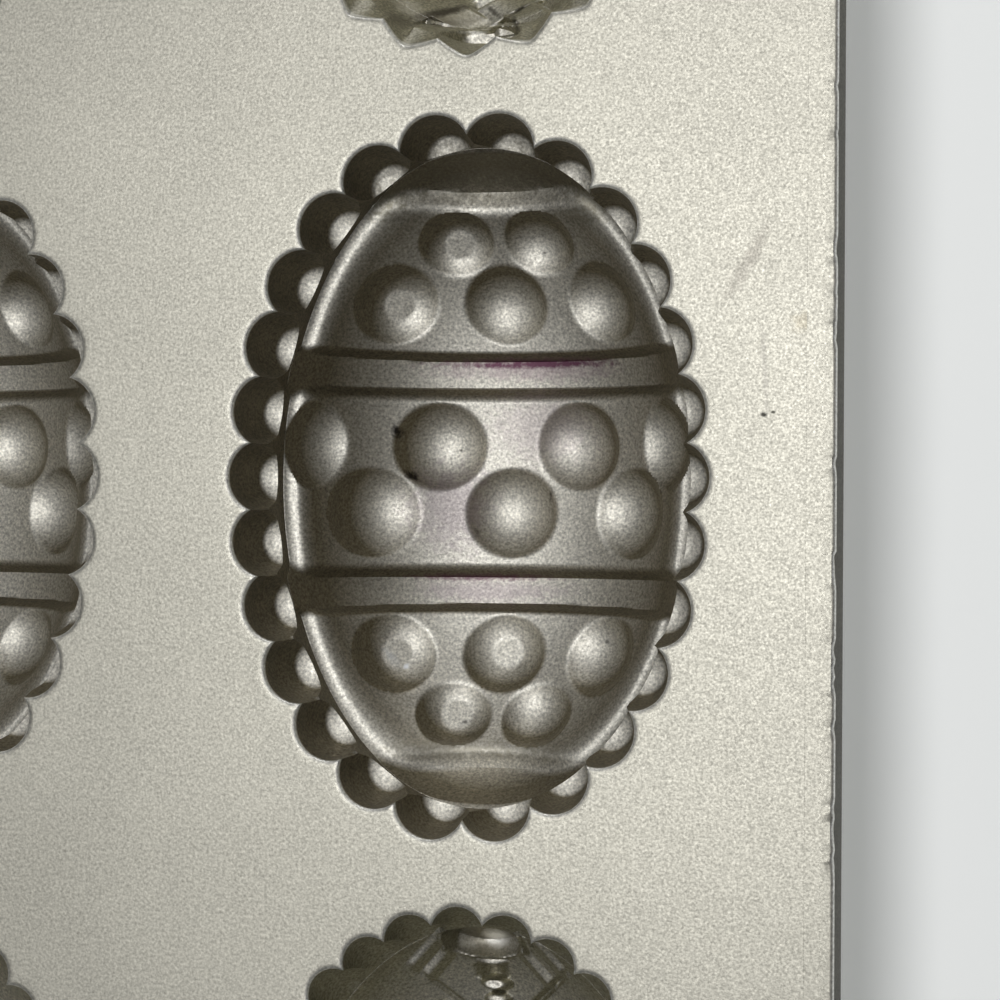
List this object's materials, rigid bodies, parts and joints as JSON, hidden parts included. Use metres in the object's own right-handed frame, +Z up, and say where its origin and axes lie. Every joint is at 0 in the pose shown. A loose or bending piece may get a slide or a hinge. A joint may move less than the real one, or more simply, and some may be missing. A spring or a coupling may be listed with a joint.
{
  "type": "egg-shaped cake pan",
  "caption": "Cast-metal baking pan with egg-shaped wells in a flat deck, each with a lobed or toothed mouth and a relief pattern, a turned-down rim and a loop grip at each end.",
  "frame": {"origin": "centre of the pan's footprint, on the surface that the bottoms of the wells rest on", "axes": "+X across the pan, +Y along its length towards the lattice wells, +Z up out of the wells' mouths"},
  "size_m": [0.1994, 0.4088, 0.0352],
  "materials": {
    "coated_casting": "cast aluminium under a champagne-silver metallic non-stick coating with a fine sparkling grain"
  },
  "bodies": {
    "root": {"deck_plate": "coated_casting", "rim_lip": "coated_casting", "end_grip_far": "coated_casting", "end_grip_near": "coated_casting", "lattice_collar_left": "coated_casting", "lattice_cup_left": "coated_casting", "lattice_collar_right": "coated_casting", "lattice_cup_right": "coated_casting", "dots_collar_left": "coated_casting", "dots_cup_left": "coated_casting", "dots_collar_right": "coated_casting", "dots_cup_right": "coated_casting", "ribbon_collar_left": "coated_casting", "ribbon_cup_left": "coated_casting", "ribbon_collar_right": "coated_casting", "ribbon_cup_right": "coated_casting"}
  },
  "joints": []
}
